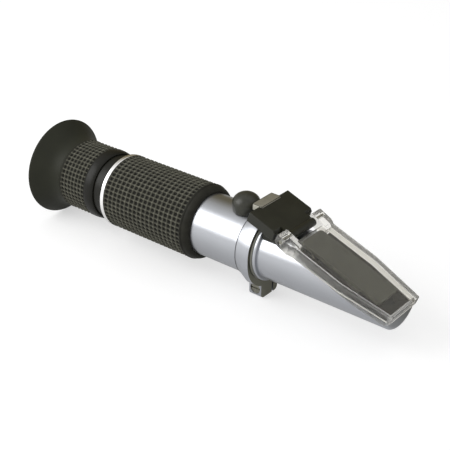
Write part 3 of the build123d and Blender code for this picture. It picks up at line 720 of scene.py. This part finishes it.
@dataclass
class Eyepiece(Assembly):
    """Eyecup, focusing ring and the lens cell inside them."""

    body: str = "eyepiece_ring"
    segments: int = 192
    # The rubber band
    knurl_columns: int = 7
    knurl_around: int = 48
    knurl_depth: float = 0.75 * MM
    band_rear_edge: float = 0.5 * MM
    band_front_edge: float = 0.2 * MM
    groove: float = 0.85 * MM
    # The ring
    thread_gap: float = 0.05 * MM
    neck_drop: float = 2.32 * MM
    aperture_drop: float = 4.9 * MM
    lip_length: float = 0.4 * MM
    lip_drop: float = 0.95 * MM
    chamfer: float = 0.1 * MM
    # The eyecup
    eyecup_sink: float = 0.35 * MM
    eyecup_lip: float = 1.2 * MM
    bead: float = 0.3 * MM
    # Inner control points of its two curves, off the end that each belongs to
    waist_pull: Pair = (5.0 * MM, 0.1 * MM)
    flare_pull: Pair = (5.2 * MM, 3.4 * MM)
    mouth_pull: Pair = (3.0 * MM, 4.2 * MM)
    throat_pull: Pair = (4.6 * MM, 3.4 * MM)
    # Where the inner curve ends and the steps of its foot lie
    throat: Pair = (7.6 * MM, 3.6 * MM)
    shelf: Pair = (8.0 * MM, 1.9 * MM)
    foot: Pair = (1.4 * MM, 0.25 * MM)

    def build(self) -> None:
        """Make the eyecup and the ribbed ring, and dress the rest."""
        self.place(self.eyecup(), EYECUP_RUBBER, "eyecup")
        self.place(self.rubber_band(), GRIP_RUBBER, "focus_rubber")
        self.place(self.turning_ring(), BLACK_METAL, "focus_ring")
        self.dress(BLACK_METAL, "retaining_ring", "ocular_cell", "lens_spacer", "lens_retainer")
        self.dress(LENS_GLASS, "eye_lens", "field_lens")

    def eyecup(self) -> Piece:
        """Flared cup: a Bezier outside, a round lip and a Bezier inside down to the ring's neck.

        Returns:
            The eyecup.
        """
        cup = Ring.of("eyecup")
        base = Ring.of("focus_rubber").radius - self.eyecup_sink
        lip = self.eyecup_lip / 2
        bead = corner_arc((cup.front - self.bead, base), (self.bead, self.bead), 0, 180)
        outside = bezier([(cup.front - 2 * self.bead, base),
                          (cup.front - self.waist_pull[0], base + self.waist_pull[1]),
                          (cup.rear + self.flare_pull[0], cup.radius - self.flare_pull[1]),
                          (cup.rear + lip, cup.radius)], count=32)
        rim = corner_arc((cup.rear + lip, cup.radius - lip), (lip, lip), 90, 200)
        inside = bezier([tuple(rim[-1]),
                         (cup.rear + self.mouth_pull[0], cup.radius - self.mouth_pull[1]),
                         (cup.rear + self.throat_pull[0], base - self.throat_pull[1]),
                         (cup.rear + self.throat[0], base - self.throat[1])], count=28)
        seat, wall, step = cup.front - self.foot[0], base - self.shelf[1], base - self.foot[1]
        foot = np.array([(cup.rear + self.shelf[0], wall), (seat, wall), (seat, step), (cup.front, step)])
        return lathe("eyecup_shell", joined(bead, outside, rim, inside, foot), cup.height, self.segments)

    def turning_ring(self) -> Piece:
        """Focusing ring: stepped seat for the cup, groove for the band and a lip drawn in by an ellipse.

        Returns:
            The ring.
        """
        ring, band = Ring.of("focus_ring"), Ring.of("focus_rubber")
        bore = Ring.of("guide_sleeve").radius + self.thread_gap
        seat = Ring.of("eyecup").front - self.foot[0]
        core, neck = ring.radius - self.groove, ring.radius - self.neck_drop
        aperture = ring.radius - self.aperture_drop
        back = np.array([(ring.rear, aperture), (ring.rear, neck), (seat, neck), (seat, core),
                         (band.front, core), (band.front, ring.radius - self.chamfer),
                         (band.front + self.chamfer, ring.radius)])
        start = band.front + self.lip_length
        lip = corner_arc((start, ring.radius - self.lip_drop), (ring.front - start, self.lip_drop),
                         90, 0, count=14)
        inner = np.array([(ring.front, bore), (band.rear, bore), (band.rear, aperture)])
        return lathe("turning_ring", joined(back, lip, inner), ring.height, self.segments)

    def rubber_band(self) -> Piece:
        """Ribbed band round the focusing ring.

        Returns:
            The band.
        """
        band = Ring.of("focus_rubber")
        knurl = Knurl(band.rear + self.band_rear_edge, band.front - self.band_front_edge, self.knurl_columns,
                      self.knurl_around, self.knurl_depth)
        inner = band.radius - self.groove
        outline = joined(np.array([(band.rear, inner), (band.rear, band.radius)]), knurl.crest(band.radius),
                         np.array([(band.front, band.radius), (band.front, inner)]))
        return lathe("focus_band", outline, band.height, knurl.segments(), knurl)


@dataclass
class Barrel(Assembly):
    """Main tube with its grip, its bright ring, the neck and the optics between them."""

    body: str = "barrel"
    knurl_columns: int = 18
    knurl_around: int = 50
    knurl_depth: float = 0.8 * MM
    smooth_length: float = 3.1 * MM
    rear_round: float = 0.3 * MM
    line_width: float = 0.5 * MM
    groove_half: float = 0.15 * MM
    groove_drop: float = 0.25 * MM
    shoulder_drop: float = 0.3 * MM
    shoulder_foot: float = 0.35 * MM

    def build(self) -> None:
        """Make the ribbed grip and dress the rest."""
        self.place(self.grip(), GRIP_RUBBER, "grip_sleeve")
        self.dress(SATIN_ALUMINIUM, "body_tube")
        self.dress(BRIGHT_TRIM, "bright_ring")
        self.dress(BLACK_METAL, "guide_sleeve", "reticle_cell", "reticle_retainer", "light_baffle")
        self.dress(SEAL_RUBBER, "damper_ring")
        self.dress(SCREW_STEEL, "guide_pin")
        self.dress(LENS_GLASS, "reticle")

    def grip(self) -> Piece:
        """Ribbed sleeve: knurl, a thin ring line and a shoulder that rounds down to the tube.

        Returns:
            The grip.
        """
        sleeve = Ring.of("grip_sleeve")
        bore = Ring.of("body_tube").radius + HAIR
        end = sleeve.front - self.smooth_length
        start, turn = sleeve.rear + self.rear_round, self.rear_round
        knurl = Knurl(start, end, self.knurl_columns, self.knurl_around, self.knurl_depth)
        rear = corner_arc((start, sleeve.radius - turn), (turn, turn), 180, 90, count=5)
        line = end + self.line_width
        groove = np.array([(line, sleeve.radius),
                           (line + self.groove_half, sleeve.radius - self.groove_drop)])
        fall, foot = line + 2 * self.groove_half, bore + self.shoulder_foot
        shoulder = corner_arc((fall, foot), (sleeve.front - fall, sleeve.radius - self.shoulder_drop - foot),
                              90, 0, count=14)
        inner = np.array([(sleeve.front, bore), (sleeve.rear, bore)])
        outline = joined(rear, knurl.crest(sleeve.radius), groove, shoulder, inner)
        return lathe("grip_knurled", outline, sleeve.height, knurl.segments(), knurl)


@dataclass
class Collar(Assembly):
    """Clamp collar with its lug, screw and nut."""

    body: str = "barrel"
    rounding: float = 0.25 * MM
    screw_rounding: float = 0.12 * MM
    # Size of the dark ring that paints the shadow line behind the collar
    seam_width: float = 0.11 * MM
    seam_height: float = 0.45 * MM
    seam_root: float = 0.1 * MM
    groove_width: float = 0.7 * MM
    groove_drop: float = 0.12 * MM
    groove_wall: float = 0.3 * MM

    def build(self) -> None:
        """Round the collar's edges and dress its fasteners."""
        collar = bevelled_copy("clamp_collar", "collar_body", self.rounding)
        # Its finish paints shade on the collar's faces that look forwards
        self.place(collar, COLLAR_ALUMINIUM, "clamp_collar")
        screw = bevelled_copy("clamp_screw", "lug_screw", self.screw_rounding)
        self.place(screw, SCREW_STEEL, "clamp_screw")
        # A dark rubber ring paints the shadow line behind the collar
        self.place(self.shadow_line(), SEAL_RUBBER)
        self.place(self.groove(), GROOVE_GREY)
        self.dress(SCREW_STEEL, "clamp_nut")

    def shadow_line(self) -> Piece:
        """Dark ring that paints the shadow line behind the collar: a small rounded ring in its corner with
        the tube.

        Returns:
            The ring.
        """
        tube = Ring.of("body_tube")
        foot, root = tube.radius + HAIR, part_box("clamp_collar")[0].x + self.seam_root
        width = self.seam_width + self.seam_root
        outline = joined(np.array([(root, foot), (root - width, foot)]),
                         corner_arc((root, foot), (width, self.seam_height), 180, 90, count=6))
        return lathe("collar_shadow_line", outline, tube.height)

    def groove(self) -> Piece:
        """Dull ring at the bottom of the groove between the collar and the housing's flange.

        Returns:
            The ring.
        """
        tube = Ring.of("body_tube")
        rear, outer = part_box("clamp_collar")[1].x, tube.radius - self.groove_drop
        front, inner = rear + self.groove_width, outer - self.groove_wall
        outline = np.array([(rear, inner), (rear, outer), (front, outer), (front, inner)])
        return lathe("groove_ring", outline, tube.height)


@dataclass
class ZeroAdjuster(Assembly):
    """Rubber cap, zero screw and the objective that it moves."""

    body: str = "cap"
    segments: int = 96
    dome_height: float = 4.0 * MM
    dome_start: float = 89.5
    taper: float = 0.25 * MM
    cavity_radius: float = 3.4 * MM
    cavity_top: float = 3.05 * MM
    foot_round: float = 0.4 * MM
    tube_gap: float = 0.05 * MM

    def build(self) -> None:
        """Dress the cap and what is under it."""
        self.place(self.cap(), CAP_RUBBER, "zero_cap")
        self.dress(SCREW_BRASS, "zero_bush", "zero_screw", "strip_rivets")
        self.dress(SCREW_STEEL, "zero_circlip", "carriage_guide")
        self.dress(BLACK_METAL, "objective_carriage", "objective_cell")
        self.dress(STRIP_METAL, "bimetal_strip")
        self.dress(LENS_GLASS, "objective_lens")

    def cap(self) -> Piece:
        """Domed cap: half an ellipse over a slightly tapered wall, hollow below, its foot laid on the tube.

        The outline (r, z) is turned about the upright axis, and points below the tube's surface
        z = axis + sqrt(R^2 - y^2) are lifted on to it.

        Returns:
            The cap.
        """
        low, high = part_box("zero_cap")
        tube = Ring.of("body_tube")
        radius, middle = (high.y - low.y) / 2, (high.x + low.x) / 2
        dome = corner_arc((0.0, high.z - self.dome_height), (radius, self.dome_height),
                          self.dome_start, 0, count=20)
        foot = corner_arc((radius - self.taper - self.foot_round, low.z + self.foot_round),
                          (self.foot_round, self.foot_round), 0, -90, count=5)
        cavity = np.array([(self.cavity_radius, low.z), (self.cavity_radius, high.z - self.cavity_top),
                           (HAIR, high.z - self.cavity_top)])
        outline = joined(dome, foot, cavity)
        angle = np.arange(self.segments) * TAU / self.segments
        across = outline[:, :1] * np.sin(angle)
        surface = tube.height + np.sqrt((tube.radius + self.tube_gap) ** 2 - across ** 2)
        points = np.stack([middle + outline[:, :1] * np.cos(angle), across,
                           np.maximum(outline[:, 1:], surface)], axis=-1)
        return capped_object("domed_cap", points)


@dataclass
class PrismHead(Assembly):
    """Housing, hinge block, prism and its seat."""

    body: str = "barrel"
    block_rounding: float = 0.32 * MM
    seat_rounding: float = 0.15 * MM
    ridge_half_width: float = 5.2 * MM
    ridge_length: float = 4.05 * MM
    ridge_thickness: float = 2.3 * MM
    ridge_round: float = 0.35 * MM
    ridge_skin: float = 0.04 * MM

    def build(self) -> None:
        """Round the block's edges and dress the rest."""
        self.dress(SATIN_ALUMINIUM, "prism_housing")
        block = bevelled_copy("hinge_block", "hinge_bracket", self.block_rounding)
        self.place(block, HINGE_BLACK, "hinge_block")
        self.dress(SCREW_STEEL, "block_screws", "hinge_pin")
        self.place(self.ridge(), RIDGE_METAL)
        self.place(bevelled_copy("prism_seat", "seat_plate", self.seat_rounding), SEAT_BLACK, "prism_seat")
        self.dress(PLUG_BLACK, "seat_plug")
        self.dress(SEAL_RUBBER, "seat_gasket")
        self.dress(PRISM_GLASS, "measuring_prism")

    def ridge(self) -> Piece:
        """Plated bar over the block's ridge.

        Returns:
            The bar.
        """
        low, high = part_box("hinge_block")
        skin = Vector((self.ridge_skin,) * 3)
        start = Vector((low.x, -self.ridge_half_width, high.z - self.ridge_thickness)) - skin
        end = Vector((low.x + self.ridge_length, self.ridge_half_width, high.z)) + skin
        return rounded_bar("ridge_bar", start, end, self.ridge_round)


@dataclass
class Cover(Assembly):
    """Clear daylight cover and its frosted pad."""

    body: str = "cover"
    rounding: float = 0.22 * MM
    pad_rounding: float = 0.15 * MM
    pad_corner: float = 1.3 * MM
    pad_sink: float = 0.02 * MM
    sideways: float = 0.7

    def build(self) -> None:
        """Round the cover's edges and those of the pad.

        The pad's top lies in the cover's inner face, so its copy is sunk a little to show evenly through it.
        """
        clear = bevelled_copy("daylight_cover", "clear_cover", self.rounding, flat=True)
        self.frost_sides(clear)
        self.place(clear, COVER_PLASTIC, "daylight_cover")
        pad = bevelled_copy("diffuser_pad", "frosted_pad", self.pad_rounding, flat=True,
                            corner=self.pad_corner)
        upwards = max(pad.data.polygons, key=lambda face: face.area * face.normal.z).normal
        pad.data.transform(Matrix.Translation(-self.pad_sink * upwards))
        self.place(pad, PAD_FROSTED, "diffuser_pad")

    def frost_sides(self, piece: Piece) -> None:
        """Mark the faces that look sideways, which the mould leaves a little frosted.

        Args:
            piece: the cover; a face whose normal has |y| over the limit is marked 1, the others 0.
        """
        mesh = piece.data
        normals = np.empty(len(mesh.polygons) * 3, dtype=np.float32)
        mesh.polygons.foreach_get("normal", normals)
        sideways = np.abs(normals.reshape(-1, 3)[:, Way.ACROSS.value]) > self.sideways
        mark = mesh.attributes.new("frosted", "FLOAT", "FACE")
        mark.data.foreach_set("value", sideways.astype(np.float32))


class RayTree(NodeTree):
    """Shader nodes that tell places and kinds of rays apart."""

    def __init__(self, owner: Owner, output: str = "ShaderNodeOutputMaterial") -> None:
        """Start the owner's tree with its output and the kinds of rays."""
        super().__init__(owner, output)
        self.path = self.add("ShaderNodeLightPath")

    def side(self, place: str, direction: tuple[float, float, float], limits: Pair) -> Socket:
        """Straight rise over how far a place lies along a direction.

        Args:
            place: name of the coordinates that are measured.
            direction: the direction they are measured along.
            limits: where the rise starts and ends.

        Returns:
            A value from 0 to 1.
        """
        along = self.add("ShaderNodeVectorMath", operation="DOT_PRODUCT")
        self.link(self.add("ShaderNodeTexCoord").outputs[place], along.inputs[0])
        along.inputs[1].default_value = direction
        rise = self.add("ShaderNodeMapRange", From_Min=limits[0], From_Max=limits[1])
        self.link(along.outputs["Value"], rise.inputs["Value"])
        return rise.outputs["Result"]

    def mirror(self) -> Socket:
        """1 for rays that a surface mirrored and that haven't passed through glass, otherwise 0."""
        rays = self.path.outputs
        return self.combine("ShaderNodeMath", rays["Is Glossy Ray"], rays["Is Transmission Ray"],
                            operation="SUBTRACT", use_clamp=True).outputs["Value"]

    def mirrored(self, place: Socket, plain: float, stops: Stops) -> Socket:
        """A plain grey that mirrored rays see as a ramp over a place.

        Args:
            place: value that the ramp reads.
            plain: grey for all other rays.
            stops: the ramp's positions and colours.

        Returns:
            The colour.
        """
        mix = self.add("ShaderNodeMix", data_type="RGBA")
        self.link(self.mirror(), mix.inputs[MIX_FACTOR])
        mix.inputs[MIX_FIRST].default_value = (*grey(plain), 1.0)
        self.link(self.ramp(place, stops), mix.inputs[MIX_SECOND])
        return mix.outputs[MIX_RESULT]

    def seen(self) -> Socket:
        """1 for camera, glossy and transmission rays, 0 for the rest.

        Returns:
            The value.
        """
        value = self.path.outputs["Is Camera Ray"]
        for kind in ("Is Glossy Ray", "Is Transmission Ray"):
            either = self.combine("ShaderNodeMath", value, self.path.outputs[kind], operation="MAXIMUM")
            value = either.outputs["Value"]
        return value


@dataclass
class Studio:
    """Pale floor, one soft box, white surroundings with a dim far side, and the camera.

    Angles are in degrees, and a direction points from the target outwards.
    """

    floor_size: float = 6.0
    floor_paint: float = 0.55
    floor_glow: float = 0.55
    mirror_side: tuple[float, float, float] = (0.0, 1.0, 0.0)
    mirror_reach: Pair = (-0.1, 0.12)
    mirror_paint: Stops = ((0.0, grey(0.6)), (0.455, grey(0.6)), (0.568, (0.2, 0.192, 0.165)),
                           (0.7, (0.17, 0.163, 0.14)), (1.0, (0.2, 0.195, 0.18)))
    mirror_glow: Stops = ((0.0, grey(0.55)), (0.273, grey(0.42)), (0.455, grey(0.16)),
                          (0.568, (0.02, 0.02, 0.016)), (0.7, (0.04, 0.04, 0.034)), (1.0, (0.3, 0.3, 0.29)))
    fill: float = 0.7
    far_side: tuple[float, float, float] = (-0.35, 0.94, 0.0)
    far_reach: Pair = (0.15, 0.8)
    dim: Colour = (0.2, 0.17, 0.1)
    azimuth: float = 39.43
    elevation: float = 28.78
    distance: float = 0.375
    target: tuple[float, float, float] = (-17.66 * MM, 0.39 * MM, 20.01 * MM)
    lens: float = 85.4
    sensor: float = 36.0
    clip_start: float = 0.01
    key_direction: tuple[float, float, float] = (-0.557, -0.631, 0.5405)
    key_distance: float = 0.62
    key_size: Pair = (0.45, 0.46)
    key_radiance: float = 3.2

    def build(self) -> None:
        """Set up everything round the instrument."""
        bpy.context.scene.view_settings.view_transform = "Standard"
        self.floor()
        self.world()
        self.key()
        self.camera()

    def back(self) -> Vector:
        """Unit vector from the target to the camera."""
        azimuth, elevation = np.radians(self.azimuth), np.radians(self.elevation)
        return Vector((np.sin(azimuth) * np.cos(elevation), -np.cos(azimuth) * np.cos(elevation),
                       np.sin(elevation)))

    def camera(self) -> None:
        """Camera at the reference picture's place, level, aimed at the target."""
        data = bpy.data.cameras.new("camera")
        data.lens = self.lens
        data.sensor_width = self.sensor
        data.clip_start = self.clip_start
        camera = bpy.data.objects.new("camera", data)
        camera.rotation_mode = "QUATERNION"
        camera.rotation_quaternion = self.back().to_track_quat("Z", "Y")
        camera.location = Vector(self.target) + self.back() * self.distance
        bpy.context.scene.collection.objects.link(camera)
        bpy.context.scene.camera = camera

    def key(self) -> None:
        """Soft box to the left of the camera; its power is radiance times pi times its area."""
        data = bpy.data.lights.new("soft_box", "AREA")
        data.shape = "RECTANGLE"
        data.size, data.size_y = self.key_size
        data.energy = self.key_radiance * np.pi * self.key_size[0] * self.key_size[1]
        lamp = bpy.data.objects.new("soft_box", data)
        direction = Vector(self.key_direction).normalized()
        lamp.location = Vector(self.target) + direction * self.key_distance
        lamp.rotation_euler = direction.to_track_quat("Z", "Y").to_euler()
        bpy.context.scene.collection.objects.link(lamp)

    def floor(self) -> None:
        """Pale floor that shows white, keeps the instrument's shadow and mirrors dimmer on the far side."""
        half = self.floor_size / 2
        corners = [(-half, -half, 0), (half, -half, 0), (half, half, 0), (-half, half, 0)]
        mesh = bpy.data.meshes.new("floor")
        mesh.from_pydata(corners, [], [(0, 1, 2, 3)])
        floor = bpy.data.objects.new("floor", mesh)
        bpy.context.scene.collection.objects.link(floor)
        tree = RayTree(bpy.data.materials.new("pale_floor"))
        across = tree.side("Object", self.mirror_side, self.mirror_reach)
        paint = tree.add("ShaderNodeBsdfDiffuse")
        tree.link(tree.mirrored(across, self.floor_paint, self.mirror_paint), paint.inputs["Color"])
        glow = tree.add("ShaderNodeEmission")
        tree.link(tree.mirrored(across, self.floor_glow, self.mirror_glow), glow.inputs["Color"])
        tree.link(tree.seen(), glow.inputs["Strength"])
        both = tree.combine("ShaderNodeAddShader", paint.outputs["BSDF"], glow.outputs["Emission"])
        tree.link(both.outputs["Shader"], tree.output.inputs["Surface"])
        mesh.materials.append(tree.owner)

    def world(self) -> None:
        """White surroundings that light the instrument softly, with a dim side behind it in reflections."""
        tree = RayTree(bpy.data.worlds.new("surroundings"), "ShaderNodeOutputWorld")
        bpy.context.scene.world = tree.owner
        far = tree.side("Generated", self.far_side, self.far_reach)
        dimmed = tree.combine("ShaderNodeMath", far, tree.mirror(), operation="MULTIPLY")
        strength = tree.add("ShaderNodeMapRange", To_Min=self.fill, To_Max=1.0)
        tree.link(tree.seen(), strength.inputs["Value"])
        background = tree.add("ShaderNodeBackground")
        shown = tree.ramp(dimmed.outputs["Value"], [(0.0, grey(1.0)), (1.0, self.dim)])
        tree.link(shown, background.inputs["Color"])
        tree.link(strength.outputs["Result"], background.inputs["Strength"])
        tree.link(background.outputs["Background"], tree.output.inputs["Surface"])


def main() -> None:
    """Build each sub-assembly in order, then the studio."""
    logging.basicConfig(level=logging.INFO, format="%(name)s: %(message)s")
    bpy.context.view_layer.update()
    for part in (Eyepiece(), Barrel(), Collar(), ZeroAdjuster(), PrismHead(), Cover()):
        part.build()
    Studio().build()


if __name__ == "__main__":
    main()
